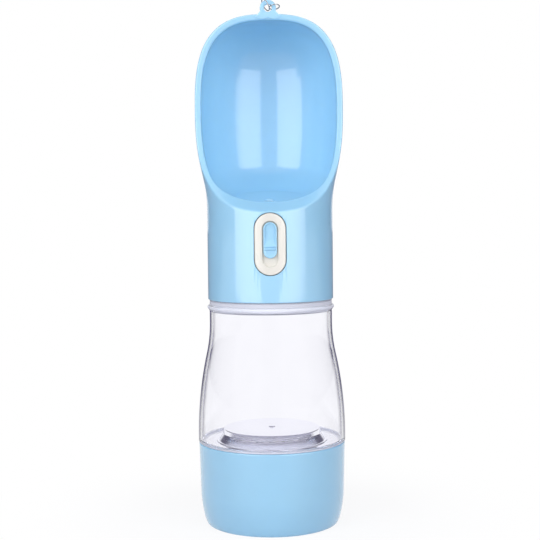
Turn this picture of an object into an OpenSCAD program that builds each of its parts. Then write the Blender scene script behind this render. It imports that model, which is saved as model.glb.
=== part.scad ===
// Travel water bottle for a dog: a drinking scoop with a press key and lock on
// top, a clear bottle in the middle and a food cup screwed on below.
// Millimetres, +Z up, origin at the middle of the cup's base, front towards -Y.

/* [Food cup] */
// Height of the cup, up to its rim
cup_h = 41; // [36:0.2:60]
// Outer radius at the rim
cup_r = 36.95; // [36:0.05:40]
// How much narrower the cup is above its rounded foot
cup_taper = 0.6; // [0:0.05:1.5]
// Width of the rounded foot, from the base edge to the side
foot_w = 3.2; // [3:0.1:8]
// Height of the rounded foot
foot_h = 16; // [10:1:20]
// Fullness of the foot's curve, where 2 is an ellipse
foot_full = 1.5; // [1.3:0.05:2.2]
// Wall of the cup
cup_wall = 2.2; // [1.6:0.1:3]
// Floor of the cup
cup_floor = 2.6; // [2:0.1:4]
// Depth of the groove round the middle of the base
base_groove = 0.8; // [0.4:0.1:1.2]

/* [Cup lid] */
// Thickness of the lid's disc
lid_t = 1.8; // [1.4:0.1:2.6]
// Length of the lid's skirt in the cup
skirt_h = 10.5; // [9:0.5:14]
// Wall of the skirt and of the boss
lid_wall = 1.8; // [1.2:0.1:2.4]
// Radius of the boss that screws into the bottle, without its thread
boss_r = 21.2; // [18:0.1:21.2]
// Height of the boss above the disc
boss_h = 6.4; // [6:0.2:8]

/* [Bottle] */
// Height from the bottom edge to the shoulder under the head
bottle_h = 71.7; // [68:0.1:90]
// Outer radius at the waist
waist_r = 30.85; // [30.7:0.05:31]
// Height of the straight stretch over the cup
straight_h = 2.7; // [1:0.1:6]
// Height of the waist above the bottom edge
waist_h = 60.2; // [56:0.1:61]
// Wall of the bottle
bottle_wall = 1.6; // [1.2:0.1:2]
// Thickness of the bottle's floor
bottle_floor = 1.8; // [1.4:0.1:2.4]
// Radius of the bead under the head
bead_r = 31.9; // [31.7:0.05:33]
// Height of the bead
bead_h = 2.2; // [1.6:0.1:3]
// Height of the step between the bead and the head
step_h = 2.6; // [1.8:0.1:3]
// Radius of the hollow under the bead
bead_fillet = 1; // [0.8:0.1:2]
// Outer radius of the neck, without its thread
neck_r = 25.2; // [24.4:0.1:25.2]
// Height of the neck above the shoulder
neck_h = 8.6; // [8.2:0.1:9]
// Radius of the socket's foot ring on the floor
socket_foot_r = 27.5; // [26:0.1:29]

/* [Threads] */
// Pitch of the neck thread
neck_pitch = 4; // [3:0.5:4]
// Pitch of the thread between the lid and the cup
cup_pitch = 4; // [3:0.5:4]
// Pitch of the thread between the lid and the bottle
boss_pitch = 3; // [2.5:0.5:3]
// Height of a thread ridge
ridge_h = 1.2; // [0.8:0.1:1.2]

/* [Head] */
// Outer radius of the head's cylinder
head_r = 31.5; // [31.4:0.05:33]
// Wall of the head's cylinder
head_wall = 2; // [1.6:0.1:2.2]
// Half the width of the scoop
scoop_r = 37.1; // [36:0.1:40]
// Wall of the scoop
scoop_wall = 3; // [2:0.1:3.4]
// Height where the head starts to widen, above its bottom edge
flare_from = 44.9; // [43:0.1:48]
// Height where the scoop is widest
flare_to = 92; // [88:0.1:92]
// Height of the middle of the domed top's outline
dome_from = 92; // [92:0.1:100]
// Height of the top of the scoop
scoop_top = 141.3; // [136:0.1:150]
// Squareness of the dome's outline, where 2 is an ellipse
squareness = 2.96; // [2:0.01:3.2]
// Height of the scoop's floor on the axis
trough_h = 51.3; // [50:0.1:54]
// Rise of the scoop's floor towards the back, in degrees
trough_tilt = 10.3; // [8:0.1:12]
// Radius between the scoop's floor and its wall
trough_fillet = 12; // [8:0.5:16]
// Thickness of the scoop's floor
trough_t = 3; // [2.4:0.1:3.4]

/* [Rim] */
// Radius of the rim's sweep from the lip to the sides, seen from the side
rim_sweep_r = 50.4; // [48:0.1:54]
// Height of the middle of that sweep
rim_mid = 90.3; // [88:0.1:92]
// How far the rim stands in front of the axis there
rim_front = 0.65; // [0:0.05:3]
// Radius of the forward curve of the rim above that
rim_top_r = 200; // [120:5:400]

/* [Lug] */
// Radius of the rounded top of the lug
lug_r = 4; // [3.6:0.1:4.6]
// Radius of the hole in the lug
lug_hole_r = 1.9; // [1.7:0.05:2.2]
// Thickness of the lug
lug_t = 2.2; // [1.6:0.1:2.4]
// Height of the lug's hole above the top of the scoop
lug_rise = 2.7; // [2.2:0.1:3.5]
// Half the width of the lug's foot
lug_foot = 5.6; // [5:0.1:7]
// Diameter of the wire of the two rings in the lug
ring_wire = 0.5; // [0.4:0.05:0.55]
// Radius of the larger ring, to the middle of its wire
ring_r = 3.1; // [3.1:0.1:3.4]
// Radius of the smaller ring, to the middle of its wire
link_r = 2.5; // [2.4:0.1:2.7]

/* [Press key] */
// Width of the key
key_w = 15; // [14.6:0.1:16]
// Height of the key
key_h = 29.8; // [29:0.1:30.2]
// Height of the key's middle above the head's bottom edge
key_mid = 28.35; // [28.2:0.05:28.5]
// Height of the middle of the key's flange and its guide above the same edge
frame_mid = 27.85; // [27.7:0.05:28]
// How far the key stands proud of the head
key_proud = 0.5; // [0.3:0.05:0.7]
// Travel of the key
key_travel = 2.5; // [2:0.1:2.5]
// Width of the slot in the key
slot_w = 7.7; // [7.6:0.1:8]
// Height of the slot in the key
slot_h = 22.1; // [22:0.1:23]
// Depth of the slot
slot_depth = 1.6; // [1.2:0.1:1.8]

/* [Lock slider] */
// Width of the slider's knob
knob_w = 6.5; // [6:0.1:6.6]
// Height of the slider's knob
knob_h = 17.3; // [17:0.1:17.4]
// Travel of the slider
lock_travel = 4; // [3.6:0.1:4]

/* [Valve] */
// Distance of the valve stem in front of the axis
stem_y = 16.5; // [16.4:0.1:16.6]
// Radius of the valve stem
stem_r = 1.5; // [1.3:0.05:1.5]
// Radius of the valve's port
port_r = 3.5; // [3:0.1:3.5]
// Distance of the spout in front of the axis
spout_y = 10; // [9.5:0.1:10]
// Radius of the spout's bore and of the outlet hole
spout_r = 2.5; // [2:0.1:2.5]
// Wall of the spout
spout_wall = 1; // [0.8:0.1:1]
// Thickness of the deck under the valve chamber
deck_t = 2.2; // [2:0.1:2.2]

/* [Clearances] */
// Gap between round faces of pieces that move on each other
fit_gap = 0.3; // [0.2:0.05:0.35]
// Gap between flat faces that meet
face_gap = 0.1; // [0.05:0.05:0.2]
// Running clearance of the stem, and gap between fitted pieces
run_gap = 0.1; // [0.05:0.01:0.1]
// Gap between the cup and the bottle
seam_gap = 0.3; // [0.2:0.05:0.5]
// Gap between the bottle's shoulder and the head
head_gap = 0.2; // [0.1:0.05:0.4]
// How far the bottle stands out over the cup's rim
seam_step = 0.25; // [0:0.05:0.3]

/* [Hidden] */
$fn = 96;
eps = 0.01;

blue = "#a9d8f8";
white = "#f5f0ec";
milk = "#e6e4ea";
clear = [0.93, 0.94, 0.98, 0.35];
rubber = "#dcdde0";
steel = "#8d9096";

// Height at which a thread starts over the end of its skirt or boss, and over the shoulder
thread_lead = 1.4;
neck_lead = 2.2;

// Cup, lid and the seals between them, from the cup's rim down
seal_t = 1.6;
gasket_t = 1.1;
bottle_z0 = cup_h + seam_gap;
plug_h = 1.5;
floor_under_z = bottle_z0 - plug_h;
floor_top_z = floor_under_z + bottle_floor;
lid_top_z = floor_under_z - 2*face_gap;
lid_under_z = lid_top_z - lid_t;
ledge_z = lid_under_z - seal_t - 2*face_gap;
mouth_r = cup_r - cup_wall + face_gap;
lid_r = mouth_r - fit_gap;
plug_r = lid_r - 0.1;
ledge_w = 0.75;
cup_bore_r = mouth_r - ledge_w;
skirt_r = cup_bore_r - ridge_h - fit_gap - 0.2;
skirt_z = lid_under_z - skirt_h;

// Boss of the lid and socket of the bottle
boss_top_z = lid_top_z + boss_h;
socket_r = boss_r + ridge_h + fit_gap + 0.1;
socket_roof_z = boss_top_z + fit_gap;
socket_roof_t = 1.4;
socket_top_z = socket_roof_z + socket_roof_t;
socket_top_r = socket_r + 1.1;

// Bottle, shoulder and neck
bottle_r = cup_r + seam_step;
bottle_in_r = bottle_r - bottle_wall;
shoulder_z = bottle_z0 + bottle_h;
step_z = shoulder_z - step_h;
bead_z = step_z - bead_h;
step_r = bead_r - 1.1;
neck_wall = 1.8;
neck_in_r = neck_r - neck_wall;
mouth_z = shoulder_z + neck_h;
s_share = 0.725;

// Core of the head: neck socket, deck and valve chamber
head_z0 = shoulder_z + head_gap;
head_in_r = head_r - head_wall;
core_r = head_in_r - run_gap - 0.05;
socket_neck_r = neck_r + ridge_h + fit_gap + 0.1;
deck_z = mouth_z + seal_t + 2*face_gap;
deck_top_z = deck_z + deck_t;
core_z = head_z0 + 1.6;
bead_snap_h = 0.8;
rib_w = 3;
rib_angles = [90, 205, 335];
notch_gap = 0.2;

// Valve chamber, its cap and the gland of the stem
chamber_h = 3.4;
chamber_top_z = deck_top_z + chamber_h;
chamber_in = [8.8, stem_y - spout_y + 2*port_r + 0.6];
chamber_wall = 1.6;
chamber_mid_y = -(stem_y + spout_y)/2;
gasket_cap_t = 0.5;
cap_z = chamber_top_z + gasket_cap_t;
cap_t = 1.6;
gland_r = 4.2;
gland_h = 1.1;
gland_top_z = cap_z + cap_t + gland_h;
ring_section = 0.6;
o_ring_r = stem_r + run_gap + ring_section;
cap_screw_x = 7.6;
cap_screw_y = -11;
cap_screw_l = 5.4;
screw_post_r = 2.3;
spout_out_r = spout_r + spout_wall;
sleeve_wall = 1.1;
sleeve_r = spout_out_r + run_gap + sleeve_wall;
collar_r = sleeve_r + run_gap;

// Scoop: floor, rim and lug, as heights in the frame
flare_z0 = head_z0 + flare_from;
flare_z1 = head_z0 + flare_to;
dome_z = head_z0 + dome_from;
top_z = head_z0 + scoop_top;
flare_share = 0.341;
trough_z = head_z0 + trough_h;
rim_z = head_z0 + rim_mid;
rim_y = -rim_front;
lug_z = top_z + lug_rise;
lug_y = rim_y_at(top_z) + lug_t/2 + 0.1;

// Valve stem: foot, seal, spring and the crossbar on top
foot_t = 1.4;
foot_r = 3.6;
seal_disc_r = port_r + 1;
seal_disc_t = 2;
valve_seal_z = deck_z - face_gap - seal_disc_t;
stem_z = valve_seal_z - foot_t;
arm_window_gap = 0.7;
bar_x = 7.8;
bar_y0 = -stem_y - 1.9;
bar_y1 = -stem_y + 1.9;
ramp = key_travel + 0.5;
bar_z = gland_top_z + 5.6;
ramp_z = bar_z + 2.5;
bar_top_z = ramp_z + ramp;

// Press key: all Y values are at rest
key_z = head_z0 + key_mid;
frame_z = head_z0 + frame_mid;
key_r = head_r + key_proud;
window_gap = fit_gap;
key_back_y = -28;
flange_y0 = -27.5;
flange_y1 = -26.3;
flange_x = 9.4;
flange_z0 = frame_z - 14;
flange_z1 = frame_z + 11.6;
pocket_x = 5;
pocket_z0 = frame_z - 11.5;
pocket_z1 = frame_z + 11.5;
slot_y = -key_r + slot_depth;
slot_floor_t = 1.2;
arm_x0 = 5.2;
arm_x1 = 7.6;
arm_top_z = ramp_z + 5;

// Guide frame behind the key
wall_y0 = -20.2;
wall_y1 = -18.8;
guide_x0 = flange_x + 0.5;
guide_x1 = guide_x0 + 1.5;
guide_y0 = -26.8;
guide_z0 = gland_top_z + 0.5;
guide_z1 = frame_z + 12.4;
ear_x = 16;
ear_h = 6;
ear_y0 = -22.5;
ear_y1 = -20.5;
ear_screw_x = 13.8;
boss_y0 = -26.6;
guide_screw_l = 5.2;
ear_z = frame_z + 0.5;
screw_r = 1;
screw_gap = 0.05;
screw_head_r = 1.9;
screw_head_h = 1.2;
key_spring_x = 6.6;
key_spring_z = frame_z + 9.2;
key_spring_r = 1.6;
spring_wire = 0.4;
valve_spring_r = 2.1;
valve_spring_wire = 0.5;

// Lock: tongue of the clip and stop of the guide
knob_top_z = key_z + slot_h/2 - 0.5;
knob_z = knob_top_z - knob_h;
tongue_z0 = knob_z + 0.3;
tongue_h = 3.4;
tongue_y1 = -24.6;
stop_z1 = tongue_z0 - 0.5;
stop_z0 = pocket_z0 + 0.6;
stop_x = 2.5;
stop_y0 = tongue_y1 + 0.3;
stop_y1 = -22.4;
neck_half_w = 1.3;
neck_half_slot = neck_half_w + 0.25;
neck_z0 = knob_z + 4.6;
neck_z1 = knob_top_z - 3.3;
clip_x = 4;
clip_t = 1.2;
clip_y0 = slot_y + slot_floor_t + face_gap;

// ---- Curves shared by several pieces ----

// Points on an arc, from angle a0 to a1
function arc(c, r, a0, a1, n) =
    [for (i = [0:n]) let (a = a0 + (a1 - a0)*i/n) [c[0] + r*cos(a), c[1] + r*sin(a)]];

// Radius at height z on two tangent arcs that lead from r0 at z0 to r1 at z1.
// share is the part of the height that the first arc takes.
function s_curve(r0, r1, z0, z1, share, z) =
    let (h = z1 - z0, d = abs(r1 - r0), way = sign(r1 - r0), turn = 2*atan2(d, h),
         sum = h/sin(turn), a = share*sum, b = sum - a)
    z <= z0 ? r0 : z >= z1 ? r1 :
    z < z0 + share*h ? r0 + way*(a - sqrt(a*a - pow(z - z0, 2)))
                     : r1 - way*(b - sqrt(b*b - pow(z1 - z, 2)));

// Outer radius of the bottle's body, less the inset
function bottle_at(z, inset = 0) =
    s_curve(bottle_r, waist_r, bottle_z0 + straight_h, bottle_z0 + waist_h, s_share, z) - inset;

// Half the width of the head at height z, less the inset
function head_at(z, inset = 0) =
    z <= dome_z ? s_curve(head_r, scoop_r, flare_z0, flare_z1, flare_share, z) - inset
    : let (up = min(1, (z - dome_z)/(top_z - inset - dome_z)))
      (scoop_r - inset)*pow(1 - pow(up, squareness), 1/squareness);

// Heights at which the domed top is drawn, closer together towards the top
function dome_heights(inset, n) =
    [for (i = [0:n]) let (a = 90*i/n)
        dome_z + (top_z - inset - dome_z)*pow(sin(a), 2/squareness)];

// Y of the rim's face at height z, seen from the side
function rim_y_at(z) = z < rim_z
    ? rim_y - rim_sweep_r + sqrt(pow(rim_sweep_r, 2) - pow(z - rim_z, 2))
    : rim_y - rim_top_r + sqrt(pow(rim_top_r, 2) - pow(z - rim_z, 2));

// Height of the scoop's floor at y
function trough_at(y) = trough_z + y*tan(trough_tilt);

// Triangles between rings of m points each, with a flat face on both ends
function tube_faces(rings, m) = concat(
    [[for (j = [m - 1:-1:0]) j]],
    [for (i = [0:rings - 2], j = [0:m - 1]) [i*m + j, i*m + (j + 1)%m, (i + 1)*m + (j + 1)%m]],
    [for (i = [0:rings - 2], j = [0:m - 1]) [i*m + j, (i + 1)*m + (j + 1)%m, (i + 1)*m + j]],
    [[for (j = [0:m - 1]) (rings - 1)*m + j]]);

// ---- Shapes that repeat ----

module ring(r_in, r_out, z0, z1) {
    rotate_extrude() translate([r_in, z0]) square([r_out - r_in, z1 - z0]);
}

// A disc with straight sides and round ends, standing in the XZ plane
module stadium(w, h, z, y0, y1) {
    translate([0, y1, z]) rotate([90, 0, 0]) linear_extrude(y1 - y0) {
        square([w, h - w], center = true);
        for (s = [-1, 1]) translate([0, s*(h - w)/2]) circle(d = w);
    }
}

module block(x, y, z) {
    translate([x[0], y[0], z[0]]) cube([x[1] - x[0], y[1] - y[0], z[1] - z[0]]);
}

// One helical thread ridge. way is 1 for a ridge on the outside of radius r and -1 for
// one inside a bore; it fades into the wall at both ends.
module thread(r, way, z0, pitch, turns) {
    per_turn = 32;
    fade = 4;
    n = round(per_turn*turns);
    root = 0.9;
    crest = 0.4;
    sink = 0.4;
    points = [for (i = [0:n]) let (
            a = 360*i/per_turn, z = z0 + pitch*i/per_turn,
            full = min(1, i/fade, (n - i)/fade),
            tip = r + way*(ridge_h*full - 0.15*(1 - full)), base = r - way*sink)
        each [for (p = [[base, -root], [tip, -crest], [tip, crest], [base, root]])
            [p[0]*cos(a), p[0]*sin(a), z + p[1]]]];
    faces = tube_faces(n + 1, 4);
    polyhedron(points, way > 0 ? faces : [for (f = faces) [for (k = [len(f) - 1:-1:0]) f[k]]]);
}

// A compression spring along Z whose coils end flat, drawn as one wire
module coil(r, wire, length, turns) {
    sides = 6;
    per_turn = 14;
    dead = 1;
    n = round(per_turn*(turns + 2*dead));
    rise = length - wire - 2*dead*wire;
    points = [for (i = [0:n]) let (
            t = i/per_turn,
            live = max(0, min(turns, t - dead)),
            z = wire/2 + min(t, dead)*wire + live/turns*rise + max(0, t - dead - turns)*wire,
            a = 360*t)
        each [for (j = [0:sides - 1]) let (b = 360*j/sides, q = r + wire/2*cos(b))
            [q*cos(a), q*sin(a), z + wire/2*sin(b)]]];
    polyhedron(points, tube_faces(n + 1, sides));
}

module screw(length, head_r = screw_head_r, head_h = screw_head_h) {
    difference() {
        union() {
            translate([0, 0, -length]) cylinder(r = screw_r, h = length + eps);
            cylinder(r = head_r, h = head_h);
        }
        // cross recess
        for (a = [0, 90]) rotate(a)
            translate([-1.1, -0.25, head_h - 0.7]) cube([2.2, 0.5, 1]);
    }
}

// ---- Cup ----

module food_cup() {
    side_r = cup_r - cup_taper;
    base_r = side_r - foot_w;
    in = cup_wall;
    steps = 10;
    // the foot's curve as [distance from the base edge, height]
    foot = [for (i = [0:steps]) let (a = 90*i/steps)
        [foot_w*pow(sin(a), 2/foot_full), foot_h*(1 - pow(cos(a), 2/foot_full))]];
    outside = concat([for (p = foot) [base_r + p[0], p[1]]],
        [[cup_r, cup_h - 0.4], [cup_r - 0.4, cup_h]]);
    inside = concat(
        [[mouth_r, cup_h], [mouth_r, ledge_z], [cup_bore_r, ledge_z],
         [side_r - in, foot_h + cup_floor]],
        [for (i = [steps - 1:-1:0]) [base_r - in + foot[i][0], cup_floor + foot[i][1]]]);
    color(blue) {
        difference() {
            rotate_extrude() polygon(concat([[0, 0]], outside, inside, [[0, cup_floor]]));
            ring(base_r - 7, base_r - 4, -1, base_groove);
        }
        thread(cup_bore_r, -1, skirt_z + thread_lead + cup_pitch/2, cup_pitch, 1.0);
    }
}

module cup_seal() {
    color(rubber) ring(skirt_r + fit_gap, lid_r, ledge_z + face_gap, ledge_z + face_gap + seal_t);
}

module cup_lid() {
    skirt_in = skirt_r - lid_wall;
    boss_in = boss_r - lid_wall;
    groove_z = lid_top_z - gasket_t + face_gap;
    color(milk) {
        rotate_extrude() difference() {
            polygon([[0, boss_top_z], [boss_r - 0.8, boss_top_z], [boss_r, boss_top_z - 0.8],
                     [boss_r, lid_top_z], [lid_r, lid_top_z], [lid_r, lid_under_z],
                     [skirt_r, lid_under_z], [skirt_r, skirt_z], [skirt_in, skirt_z],
                     [skirt_in, lid_under_z], [boss_in, lid_under_z],
                     [boss_in, boss_top_z - lid_wall], [0, boss_top_z - lid_wall]]);
            translate([gasket_r0() - run_gap, groove_z - face_gap])
                square([gasket_r1() - gasket_r0() + 2*run_gap, gasket_t + 1]);
        }
        thread(boss_r, 1, lid_top_z + thread_lead, boss_pitch, 1.15);
        thread(skirt_r, 1, skirt_z + thread_lead, cup_pitch, 1.6);
    }
}

function gasket_r0() = socket_r + 0.6;
function gasket_r1() = socket_r + 2.8;

module lid_gasket() {
    z = floor_under_z - face_gap;
    color(rubber) ring(gasket_r0(), gasket_r1(), z - gasket_t, z);
}

// ---- Bottle ----

module bottle() {
    z_straight = bottle_z0 + straight_h;
    z_waist = bottle_z0 + waist_h;
    steps = 20;
    heights = [for (i = [0:steps]) z_straight + (z_waist - z_straight)*i/steps];
    shoulder_in_z = bead_z + 0.6;
    outside = concat(
        [[plug_r, bottle_z0], [bottle_r - 0.4, bottle_z0], [bottle_r, bottle_z0 + 0.4]],
        [for (z = heights) [bottle_at(z), z]],
        arc([waist_r + bead_fillet, bead_z - bead_fillet], bead_fillet, 180, 145, 4),
        arc([bead_r - bead_h/2, bead_z + bead_h/2], bead_h/2, -60, 60, 6),
        [[bead_r - 0.5, step_z], [step_r, step_z], [step_r, shoulder_z - 0.3],
         [step_r - 0.3, shoulder_z], [neck_r, shoulder_z], [neck_r, mouth_z - 0.4],
         [neck_r - 0.4, mouth_z], [neck_in_r + 0.3, mouth_z], [neck_in_r, mouth_z - 0.3]]);
    inside = concat(
        [[neck_in_r, shoulder_z - 1.4], [waist_r - bottle_wall - 0.8, shoulder_in_z + 0.8],
         [waist_r - bottle_wall, shoulder_in_z]],
        [for (i = [steps:-1:0]) [bottle_at(heights[i], bottle_wall), heights[i]]],
        arc([bottle_in_r - 3, floor_top_z + 3], 3, 0, -90, 6));
    socket = [[socket_foot_r, floor_top_z], [socket_top_r + 0.4, socket_roof_z - 0.4],
              [socket_top_r + 0.4, socket_top_z - 0.5], [socket_top_r - 0.1, socket_top_z],
              [0, socket_top_z], [0, socket_roof_z], [socket_r, socket_roof_z],
              [socket_r, floor_under_z], [plug_r, floor_under_z]];
    color(clear) {
        rotate_extrude() polygon(concat(outside, inside, socket));
        // foot ring round the socket and the gate mark of the moulding on its roof
        ring(socket_foot_r - 0.5, socket_foot_r + 0.5, floor_top_z - 0.3, floor_top_z + 0.4);
        translate([0, 0, socket_top_z - 0.2]) cylinder(r1 = 1.7, r2 = 1.2, h = 0.8);
        thread(neck_r, 1, shoulder_z + neck_lead, neck_pitch, 1.1);
        thread(socket_r, -1, lid_top_z + thread_lead + boss_pitch/2, boss_pitch, 1.0);
    }
}

module mouth_seal() {
    color(rubber) ring(neck_in_r + 0.3, neck_r + 1, mouth_z + face_gap, deck_z - face_gap);
}

// ---- Head: core, valve chamber and spout ----

module chamber_outline(grow) {
    translate([0, chamber_mid_y])
        square([chamber_in[0] + 2*grow, chamber_in[1] + 2*grow], center = true);
}

module valve_core() {
    color(white) {
        difference() {
            union() {
                rotate_extrude() polygon([
                    [0, deck_z], [socket_neck_r, deck_z], [socket_neck_r, core_z + 0.8],
                    [socket_neck_r + 0.8, core_z], [core_r - 0.4, core_z], [core_r, core_z + 0.4],
                    [core_r, deck_top_z], [0, deck_top_z]]);
                translate([0, 0, deck_top_z - eps]) linear_extrude(chamber_h + eps)
                    chamber_outline(chamber_wall);
                for (s = [-1, 1]) translate([s*cap_screw_x, cap_screw_y, deck_top_z - eps])
                    cylinder(r = screw_post_r, h = chamber_h + eps);
            }
            translate([0, 0, deck_top_z]) linear_extrude(chamber_h + 1) chamber_outline(0);
            translate([0, -stem_y, deck_z - 1]) cylinder(r = port_r, h = deck_t + 2);
            for (s = [-1, 1]) translate([s*cap_screw_x, cap_screw_y, chamber_top_z - 3.8])
                cylinder(r = screw_r + screw_gap, h = 5);
            for (a = rib_angles) rotate(a)
                translate([head_in_r - 2.6, -rib_w/2 - notch_gap, deck_z + 0.4])
                    cube([4, rib_w + 2*notch_gap, deck_t]);
        }
        thread(socket_neck_r, -1, shoulder_z + neck_lead + neck_pitch/2, neck_pitch, 1.0);
    }
}

module cap_outline(inset) {
    difference() {
        union() {
            chamber_outline(chamber_wall - inset);
            for (s = [-1, 1]) translate([s*cap_screw_x, cap_screw_y]) circle(r = screw_post_r - inset);
        }
        for (s = [-1, 1]) translate([s*cap_screw_x, cap_screw_y]) circle(r = screw_r + 0.15);
    }
}

module cap_gasket() {
    color(rubber) translate([0, 0, chamber_top_z]) linear_extrude(gasket_cap_t) difference() {
        cap_outline(0.1);
        chamber_outline(0);
    }
}

module spout_cap() {
    spout_top_z = trough_at(-spout_y) - trough_t - 0.9;
    color(white) difference() {
        union() {
            translate([0, 0, cap_z]) linear_extrude(cap_t) cap_outline(0);
            translate([0, -spout_y, cap_z]) cylinder(r = spout_out_r, h = spout_top_z - cap_z);
            translate([0, -stem_y, cap_z]) cylinder(r = gland_r, h = cap_t + gland_h);
        }
        translate([0, -spout_y, cap_z - 1]) cylinder(r = spout_r, h = spout_top_z - cap_z + 2);
        translate([0, -stem_y, cap_z - 1])
            cylinder(r = stem_r + run_gap, h = cap_t + gland_h + 2);
        // groove for the stem's O-ring
        translate([0, -stem_y, 0])
            ring(stem_r, o_ring_r + ring_section + run_gap,
                 o_ring_z() - ring_section - run_gap, o_ring_z() + ring_section + run_gap);
    }
}

function o_ring_z() = cap_z + (cap_t + gland_h)/2;

module cap_screws() {
    color(steel) for (s = [-1, 1])
        translate([s*cap_screw_x, cap_screw_y, cap_z + cap_t]) screw(cap_screw_l);
}

module stem_o_ring() {
    color("#3b3d42") translate([0, -stem_y, o_ring_z()])
        rotate_extrude() translate([o_ring_r, 0]) circle(r = ring_section);
}

module spout_sleeve() {
    top = trough_at(-spout_y) - trough_t - 0.2;
    color(rubber) translate([0, -spout_y, 0])
        ring(spout_out_r + run_gap, sleeve_r, top - 8, top);
}

// ---- Head shell ----

// The hollow of the scoop: a floor that rises to the back, rounded into the wall
module trough() {
    m = 72;
    low = dome_z - 22;
    fillet_steps = 8;
    wall_steps = 4;
    r_low = head_at(trough_z, scoop_wall);
    corner = [for (i = [0:fillet_steps]) 90*i/fillet_steps];
    levels = concat([for (i = [1:3]) low + (dome_z - low)*i/3],
                    [for (z = dome_heights(scoop_wall, 12)) if (z > dome_z + eps) z]);
    function corner_z(s, a) = trough_z + trough_fillet*(1 - cos(s))
        + tan(trough_tilt)*(r_low - trough_fillet*(1 - sin(s)))*sin(a);
    function at(a, r, z) = [r*cos(a), r*sin(a), z];
    rings = concat(
        [for (s = corner) [for (j = [0:m - 1]) let (a = -360*j/m, z = corner_z(s, a))
            at(a, head_at(z, scoop_wall) - trough_fillet*(1 - sin(s)), z)]],
        [for (i = [1:wall_steps]) [for (j = [0:m - 1]) let (a = -360*j/m,
            z = corner_z(90, a) + (low - corner_z(90, a))*i/wall_steps)
            at(a, head_at(z, scoop_wall), z)]],
        [for (z = levels) [for (j = [0:m - 1])
            at(-360*j/m, max(0.8, head_at(z, scoop_wall)), z)]]);
    polyhedron([for (r = rings) each r], tube_faces(len(rings), m));
}

// Everything in front of the rim's face
module rim_cut() {
    wide = 2*scoop_r + 20;
    low_steps = 18;
    high_steps = 6;
    low = rim_z - 0.98*rim_sweep_r;
    high = top_z + 4;
    // even steps along the sweep, then up the gentler curve
    face = concat(
        [for (i = [0:low_steps - 1]) let (a = asin(0.98)*(1 - i/low_steps))
            [rim_y - rim_sweep_r*(1 - cos(a)), rim_z - rim_sweep_r*sin(a)]],
        [for (i = [0:high_steps]) let (z = rim_z + (high - rim_z)*i/high_steps)
            [rim_y_at(z), z]]);
    translate([-wide/2, 0, 0]) rotate([90, 0, 90]) linear_extrude(wide)
        polygon(concat([[-2*scoop_r, low]], face, [[-2*scoop_r, high]]));
}

module head_outside() {
    steps = 20;
    outline = concat(
        [[0, head_z0], [head_r - 0.4, head_z0], [head_r, head_z0 + 0.4]],
        [for (i = [0:steps]) let (z = flare_z0 + (flare_z1 - flare_z0)*i/steps) [head_at(z), z]],
        [for (z = dome_heights(0, 24)) [head_at(z), z]]);
    rotate_extrude() polygon(outline);
}

// The space inside the head, under the scoop's floor
module head_inside() {
    high_z = frame_z + 12.15;
    narrow_r = head_in_r - 2.45;
    difference() {
        rotate_extrude() polygon([
            [0, head_z0 - 1], [head_in_r + 0.4, head_z0 - 1], [head_in_r + 0.4, head_z0 + 0.01],
            [head_in_r, head_z0 + 0.4], [head_in_r, high_z], [narrow_r, high_z + 1.2],
            [narrow_r, trough_z + 20], [0, trough_z + 20]]);
        translate([0, 0, trough_z - trough_t]) rotate([trough_tilt, 0, 0])
            translate([-scoop_r, -scoop_r, 0]) cube([2*scoop_r, 2*scoop_r, scoop_r]);
    }
}

module lug() {
    h = lug_z - top_z + 3;
    // the sides run from the foot to where they touch the round top
    lean = atan2(lug_foot, h);
    far = sqrt(h*h + lug_foot*lug_foot);
    touch = 90 - lean - acos(lug_r/far);
    p = [lug_r*cos(-touch), -lug_r*sin(touch)];
    translate([0, lug_y + lug_t/2, lug_z]) rotate([90, 0, 0]) linear_extrude(lug_t) {
        circle(r = lug_r);
        polygon([[-lug_foot, -h], [lug_foot, -h], p, [-p[0], p[1]]]);
    }
}

module head_shell() {
    snap_z = core_z - 0.1 - bead_snap_h;
    under = trough_z - trough_t;
    color(blue) difference() {
        union() {
            difference() {
                head_outside();
                head_inside();
            }
            // bead that the core snaps over
            rotate_extrude() polygon([
                [head_in_r + 0.5, snap_z], [head_in_r, snap_z], [head_in_r - 0.7, snap_z + 0.4],
                [head_in_r - 0.7, snap_z + bead_snap_h], [head_in_r + 0.5, snap_z + bead_snap_h]]);
            // ribs that stop and turn with the core
            for (a = rib_angles) rotate(a) {
                block([head_in_r - 2.3, head_in_r + 0.5], [-rib_w/2, rib_w/2],
                      [deck_z + 0.6, deck_top_z + 1]);
                block([head_in_r - 4, head_in_r + 0.5], [-rib_w/2, rib_w/2],
                      [deck_top_z + 0.1, under - 2]);
            }
            // collar round the spout
            translate([0, -spout_y, trough_at(-spout_y) - trough_t - 7])
                cylinder(r = collar_r + 1.6, h = 7.6);
            // bosses of the guide frame
            for (s = [-1, 1]) translate([s*ear_screw_x, boss_y0, ear_z]) rotate([-90, 0, 0])
                cylinder(r = 2.4, h = ear_y0 - boss_y0);
            lug();
        }
        trough();
        rim_cut_with_lug();
        stadium(key_w + 2*window_gap, key_h + 2*window_gap, key_z, -key_r - 2, -25.5);
        translate([0, -spout_y, trough_z - 3*trough_t]) cylinder(r = spout_r, h = 4*trough_t);
        translate([0, -spout_y, trough_at(-spout_y) - trough_t - 10])
            cylinder(r = collar_r, h = 10);
        for (s = [-1, 1]) translate([s*ear_screw_x, boss_y0 + 0.4, ear_z]) rotate([-90, 0, 0])
            cylinder(r = screw_r + screw_gap, h = ear_y0 - boss_y0);
        translate([0, 0, lug_z]) rotate([90, 0, 0])
            cylinder(r = lug_hole_r, h = scoop_r, center = true);
    }
}

// The rim's cut stops under the lug, which stands a little proud of the rim
module rim_cut_with_lug() {
    difference() {
        rim_cut();
        lug();
    }
}

// ---- Key, guide and lock ----

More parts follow.
